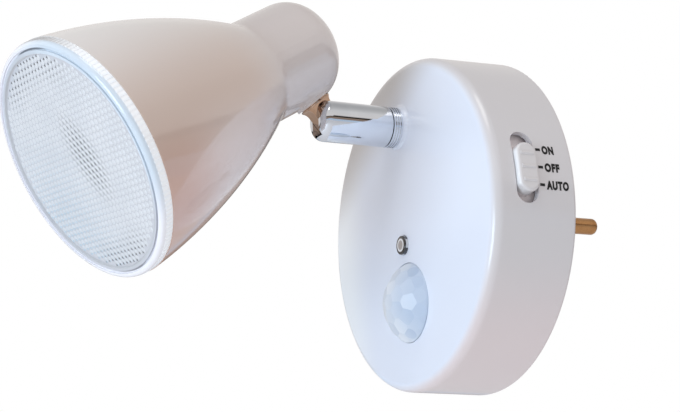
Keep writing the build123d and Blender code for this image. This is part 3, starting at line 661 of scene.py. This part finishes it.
def makeRibs(s):
    piece = runTree("sideRibs", ribTree(), {
        "Ring Radius": s["radius"] * mm, "Count": s["count"], "Rib Width": s["width"] * mm,
        "Rib Height": s["height"] * mm, "Rib Length": s["length"] * mm, "Finish": ribFinish()})
    piece.data.transform(headPlace @ Matrix.Translation((0, s["middle"] * mm, 0)) @ lensTurn)
    piece.data.shade_flat()
    place(piece, "head", "lens_plastic")


prisms = makePrisms(prismGrid)
makeRibs(ribRing)
print("lens: prism faces", len(prisms.data.polygons))


# each ring of flat fields: how far it leans out, how many, where the first one is and how deep it is cut
domeLens = {"radius": 9.4, "height": 5.5, "steps": 96, "rows": 24, "skirt": 1.2,
            "rings": [(0, 1, 0, 0.2), (19, 6, 20, 0.2), (36, 11, -10, 0.2), (51, 15, 0, 0.12)]}
# how much painted light a field gets: the curved rest, the one field with a painted highlight by its lean and
# number, and the others' swing
fieldTones = {"rest": 0.55, "brightField": (36, 0), "bright": 0.74, "middle": 0.42, "swing": 0.28,
              "step": 2.4}
# the fields' tones run from a painted shade to a painted light, and a painted bluish shade lies towards one side
domeTones = {"thick": (0.36, 0.46, 0.62), "thin": (0.84, 0.88, 0.93), "left": (0.80, 0.83, 0.86),
             "right": (0.38, 0.50, 0.68), "castFade": (-3, 8)}


def domeFinish():
    # milky moulding whose flat fields are painted a little lighter or darker one by one for the light each
    # catches, with a painted bluish shade to one side
    tones = domeTones
    material, tree, shader = newFinish("domeFields")
    point = objectPoint(tree)
    field = addNode(tree, "Attribute", attribute_name="field").outputs["Fac"]
    milky = mixColors(tree, field, tones["thick"], tones["thin"])
    # painted bluish shade towards one side
    toRight = fadeOver(tree, axesOf(tree, point)[0], tones["castFade"])
    cast = mixColors(tree, toRight, tones["left"], tones["right"])
    tree.links.new(mixColors(tree, 0.5, milky, cast), shader.inputs["Base Color"])
    skinOf(tree, shader, point, 0.44, 0.02)
    polish(shader, 0.06, 0.04)
    return material


def fieldTone(lean, i):
    if (lean, i) == fieldTones["brightField"]:
        return fieldTones["bright"]
    return fieldTones["middle"] + fieldTones["swing"] * math.sin(fieldTones["step"] * i + lean)


def makeDome(s):
    low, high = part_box("pir_lens")
    sphere = (s["radius"] ** 2 + s["height"] ** 2) / (2 * s["height"])
    base = math.degrees(math.asin(s["radius"] / sphere))
    outline = [(sphere * math.sin(math.radians(a)), sphere * (1 - math.cos(math.radians(a))))
               for a in [base * i / s["rows"] for i in range(s["rows"] + 1)]]
    outline += [(s["radius"], s["height"] + s["skirt"]), (0, s["height"] + s["skirt"])]
    outline[0] = (0, 0)
    mesh = latheMesh("domeLens", [(r * mm, y * mm) for r, y in outline], s["steps"])
    form = bmesh.new()
    form.from_mesh(mesh)
    shade = form.faces.layers.float.new("field")
    for face in form.faces:
        face[shade] = fieldTones["rest"]
    middle = Vector((0, sphere * mm, 0))
    for lean, count, start, deep in s["rings"]:
        for i in range(count):
            turn, polar = math.radians(start + 360 * i / count), math.radians(lean)
            side = math.sin(polar)
            out = Vector((side * math.cos(turn), -math.cos(polar), side * math.sin(turn)))
            spot = middle + out * (sphere - deep) * mm
            cut = bmesh.ops.bisect_plane(form, geom=form.verts[:] + form.edges[:] + form.faces[:],
                                         plane_co=spot, plane_no=out, clear_outer=True)
            rimEdges = [e for e in cut["geom_cut"] if isinstance(e, bmesh.types.BMEdge)]
            for face in bmesh.ops.contextual_create(form, geom=rimEdges)["faces"]:
                face[shade] = fieldTone(lean, i)
    bmesh.ops.recalc_face_normals(form, faces=form.faces)
    form.to_mesh(mesh)
    form.free()
    smoothBy(mesh, 4)
    mesh.transform(Matrix.Translation((0, low.y, (low.z + high.z) / 2)))
    mesh.materials.append(domeFinish())
    place(addPiece("domeLens", mesh), "base", "dome_plastic", "pir_lens")


makeDome(domeLens)
print("dome made")


lettering = {"rows": [("ON", 7.87, 3.0), ("OFF", 3.65, 3.8), ("AUTO", -0.4, 5.7)], "tickAt": 12.35,
             "tickLength": 1.2, "tickHeight": 0.6, "textAt": 13.4, "height": 2.05, "thick": 0.10,
             "bolder": 0.06, "spacing": 1.2}


def rimPoint(along, arc, out):
    # a place on the rim: along is from the face edge, arc is up round the rim, out is off the surface
    radius = housing["radius"] + (housing["rearRadius"] - housing["radius"]) * along / housing["depth"]
    turn = arc / housing["radius"]
    return Vector(((radius + out) * math.cos(turn), faceY + along, (radius + out) * math.sin(turn)))


def wrapOnRim(mesh, startAlong, startArc):
    for vertex in mesh.vertices:
        x, y, z = vertex.co
        vertex.co = rimPoint(startAlong + x, startArc + y, z)


def makeLetters(s):
    half = s["thick"] / 2 * mm
    for word, arc, width in s["rows"]:
        curve = bpy.data.curves.new(word, "FONT")
        curve.body = word
        curve.offset = s["bolder"]
        curve.space_character = s["spacing"]
        curve.fill_mode = "BOTH"
        curve.extrude = 0.5
        flat = toMesh(addPiece("text" + word, curve), "label" + word.title())
        mesh = flat.data
        xs, ys = ([vertex.co[axis] for vertex in mesh.vertices] for axis in (0, 1))
        left, low = min(xs), min(ys)
        wide, tall = max(xs) - left, max(ys) - low
        for vertex in mesh.vertices:
            vertex.co.x = (vertex.co.x - left) / wide * width * mm
            vertex.co.y = ((vertex.co.y - low) / tall - 0.5) * s["height"] * mm
            vertex.co.z = math.copysign(half, vertex.co.z)
        wrapOnRim(mesh, s["textAt"] * mm, arc * mm)
        form = bmesh.new()
        form.from_mesh(mesh)
        bmesh.ops.remove_doubles(form, verts=form.verts, dist=1e-7)
        tick = bmesh.ops.create_cube(form, size=1)["verts"]
        for vertex in tick:
            along = (s["tickAt"] + vertex.co.x * s["tickLength"]) * mm
            vertex.co = rimPoint(along, (arc + vertex.co.y * s["tickHeight"]) * mm, vertex.co.z * 2 * half)
        bmesh.ops.recalc_face_normals(form, faces=form.faces)
        form.to_mesh(mesh)
        form.free()
        mesh.materials.clear()
        mesh.materials.append(inkFinish)
        place(flat, "base", "housing_plastic")


makeLetters(lettering)
print("lettering made")


stage = {"floorZ": -0.38, "floorSize": 4.0, "color": (0.92, 0.92, 0.93), "cloudy": (0.88, 0.88, 0.89)}


def makeFloor(s):
    half = s["floorSize"] / 2
    mesh = bpy.data.meshes.new("floor")
    corners = [(-half, -half, s["floorZ"]), (half, -half, s["floorZ"]), (half, half, s["floorZ"]),
               (-half, half, s["floorZ"])]
    mesh.from_pydata(corners, [], [(0, 1, 2, 3)])
    floor = addPiece("floor", mesh)
    material, tree, shader = newFinish("floorPaper")
    cloud = mapped(tree, noiseOf(tree, objectPoint(tree), 3, 3), 0.3, 0.7, 0, 0.3)
    tree.links.new(mixColors(tree, cloud, s["color"], s["cloudy"]), shader.inputs["Base Color"])
    shader.inputs["Roughness"].default_value = 0.8
    mesh.materials.append(material)


world = {"ambient": [(0.0, (0.60, 0.55, 0.53)), (0.5, (0.62, 0.60, 0.60)), (1.0, (0.72, 0.72, 0.74))],
         "surround": [(0.0, (0.62, 0.76, 0.90)), (0.40, (0.50, 0.62, 0.76)), (0.485, (0.50, 0.60, 0.72)),
                      (0.49, (0.26, 0.19, 0.15)), (0.565, (0.30, 0.22, 0.17)), (0.58, (0.015, 0.012, 0.01)),
                      (0.60, (0.015, 0.012, 0.01)), (0.62, (0.78, 0.73, 0.70)), (0.84, (0.72, 0.70, 0.68)),
                      (0.96, (0.45, 0.44, 0.43)), (1.0, (0.30, 0.30, 0.30))]}


def makeWorld(s):
    scene = bpy.context.scene
    scene.world = bpy.data.worlds.new("studio")
    scene.world.use_nodes = True
    tree = scene.world.node_tree
    tree.nodes.clear()
    output = tree.nodes.new("ShaderNodeOutputWorld")
    direction = addNode(tree, "TexCoord").outputs["Generated"]
    height = addNode(tree, "SeparateXYZ", {0: direction}).outputs["Z"]
    level = mathOf(tree, "MULTIPLY_ADD", height, 0.5, 0.5)
    path = addNode(tree, "LightPath")
    seen = mixColors(tree, path.outputs["Is Glossy Ray"], rampOf(tree, level, s["ambient"]),
                     rampOf(tree, level, s["surround"]))
    clear = mathOf(tree, "MAXIMUM", path.outputs["Is Camera Ray"], path.outputs["Is Transmission Ray"])
    final = mixColors(tree, clear, seen, (1.0, 1.0, 1.0))
    back = addNode(tree, "Background", {"Color": final, "Strength": 1.0})
    tree.links.new(back.outputs[0], output.inputs[0])


lamps = {"faceLamp": {"at": (0.24, -0.92, -0.13), "aim": (0, -0.03, 0), "size": 0.4, "power": 3.3,
                      "color": (0.72, 0.87, 1.0)},
         "topLamp": {"at": (0.35, -0.25, 0.75), "aim": (0, -0.03, 0), "size": 0.4, "power": 1.4,
                     "color": (1.0, 0.97, 0.94)}}


def makeLamps(s):
    for name, lamp in s.items():
        light = bpy.data.lights.new(name, "AREA")
        light.shape = "DISK"
        light.size = lamp["size"]
        light.energy = lamp["power"]
        light.color = lamp["color"]
        holder = bpy.data.objects.new(name, light)
        bpy.context.scene.collection.objects.link(holder)
        holder.location = lamp["at"]
        aim = Vector(lamp["aim"]) - Vector(lamp["at"])
        holder.rotation_euler = aim.to_track_quat("-Z", "Y").to_euler()


view = {"azimuth": 63.813, "elevation": -14.911, "roll": -2.998, "distance": 348.457 * mm, "lens": 77.0913,
        "right": 15.947 * mm, "up": -4.337 * mm}


def makeCamera(s):
    az, el, roll = (math.radians(s[key]) for key in ("azimuth", "elevation", "roll"))
    back = Vector((math.sin(az) * math.cos(el), -math.cos(az) * math.cos(el), math.sin(el)))
    level = Vector((math.cos(az), math.sin(az), 0))
    upright = back.cross(level)
    right = math.cos(roll) * level + math.sin(roll) * upright
    up = -math.sin(roll) * level + math.cos(roll) * upright
    data = bpy.data.cameras.new("camera")
    data.lens = s["lens"]
    data.sensor_width = 36
    data.clip_start = 0.01
    camera = bpy.data.objects.new("camera", data)
    bpy.context.scene.collection.objects.link(camera)
    turn = Matrix((right, up, back)).transposed().to_4x4()
    spot = Vector((0, faceY, 0)) - s["right"] * right - s["up"] * up + s["distance"] * back
    camera.matrix_world = Matrix.Translation(spot) @ turn
    bpy.context.scene.camera = camera


makeFloor(stage)
makeWorld(world)
makeLamps(lamps)
makeCamera(view)
bpy.context.scene.view_settings.view_transform = "Standard"
bpy.context.view_layer.update()
print("stage made")
